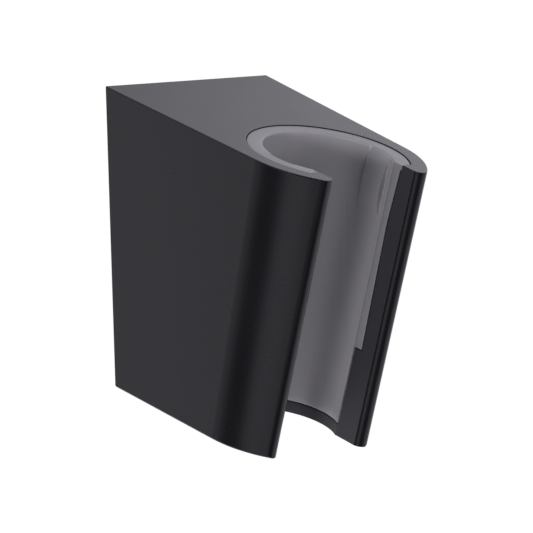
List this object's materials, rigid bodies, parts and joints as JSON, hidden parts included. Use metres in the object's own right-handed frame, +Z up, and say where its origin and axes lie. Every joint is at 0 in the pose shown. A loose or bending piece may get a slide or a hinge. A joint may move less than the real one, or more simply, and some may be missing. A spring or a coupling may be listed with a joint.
{
  "type": "hand shower holder",
  "caption": "Wall holder for a hand shower: a leaning wedge-shaped casing with a round nose and a front slot, and a conical sleeve that takes the end of the handle.",
  "frame": {"origin": "on the wall plane, midway between the two screw holes", "axes": "+X to the right as seen from the room, +Y into the wall, +Z up"},
  "size_m": [0.041, 0.0552, 0.0688],
  "materials": {
    "casing_black": "satin black moulding",
    "insert_grey": "smooth dark grey moulding"
  },
  "bodies": {
    "root": {"casing": "casing_black", "insert": "insert_grey"}
  },
  "joints": []
}
